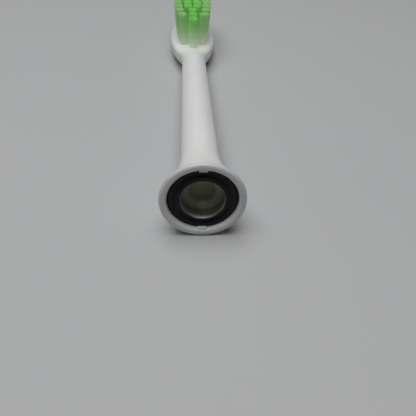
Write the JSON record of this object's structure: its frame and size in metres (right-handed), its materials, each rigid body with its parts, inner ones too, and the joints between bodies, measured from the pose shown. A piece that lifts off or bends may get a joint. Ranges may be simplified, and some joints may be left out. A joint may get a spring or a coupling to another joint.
{
  "type": "sonic toothbrush head",
  "caption": "Click-on brush head: slim white neck flaring to a ring with a rubber-cushioned shaft socket and leaf-spring catch, oval head of green and pale green bristle tufts.",
  "frame": {"origin": "on the brush axis at the lip of the socket sleeve, 0.4 mm inside the base ring's front face", "axes": "+Y along the brush from the handle end to the tip of the head, +Z out through the bristles, +X to the right when looking along +Y"},
  "size_m": [0.014, 0.078, 0.0161],
  "materials": {
    "shell_white": "moulded white plastic, satin gloss",
    "ring_white": "moulded off-white plastic, satin",
    "damper_black": "matte black soft rubber",
    "sleeve_steel": "polished stainless steel",
    "core_smoke": "smoky grey-olive plastic, slightly translucent",
    "spring_steel": "rolled spring steel strip",
    "anchor_steel": "bright anchor wire",
    "bristle_green": "translucent green nylon filaments",
    "bristle_pale": "translucent pale green nylon filaments"
  },
  "bodies": {
    "brush_head": {"neck_shell": "shell_white", "base_ring": "ring_white", "damper_ring": "damper_black", "socket_sleeve": "sleeve_steel", "coupling_core": "core_smoke", "tuft_anchors": "anchor_steel", "bristle_tuft_01": "bristle_green", "bristle_tuft_02": "bristle_pale", "bristle_tuft_03": "bristle_green", "bristle_tuft_04": "bristle_pale", "bristle_tuft_05": "bristle_pale", "bristle_tuft_06": "bristle_green", "bristle_tuft_07": "bristle_pale", "bristle_tuft_08": "bristle_pale", "bristle_tuft_09": "bristle_green", "bristle_tuft_10": "bristle_green", "bristle_tuft_11": "bristle_pale", "bristle_tuft_12": "bristle_pale", "bristle_tuft_13": "bristle_green", "bristle_tuft_14": "bristle_green", "bristle_tuft_15": "bristle_pale", "bristle_tuft_16": "bristle_pale", "bristle_tuft_17": "bristle_green", "bristle_tuft_18": "bristle_green", "bristle_tuft_19": "bristle_pale", "bristle_tuft_20": "bristle_pale", "bristle_tuft_21": "bristle_green", "bristle_tuft_22": "bristle_green", "bristle_tuft_23": "bristle_pale", "bristle_tuft_24": "bristle_pale", "bristle_tuft_25": "bristle_green", "bristle_tuft_26": "bristle_green", "bristle_tuft_27": "bristle_pale", "bristle_tuft_28": "bristle_pale", "bristle_tuft_29": "bristle_green", "bristle_tuft_30": "bristle_pale", "bristle_tuft_31": "bristle_pale", "bristle_tuft_32": "bristle_pale"},
    "spring_leaf": {"retaining_spring": "spring_steel"}
  },
  "joints": [
    {"name": "leaf_flex", "type": "hinge", "parent": "brush_head", "child": "spring_leaf", "pos_m": [0, 0.0205, -0.00145], "axis": [1, 0, 0], "range_deg": [0, 4], "stiffness_Nm_per_rad": 0.15}
  ]
}
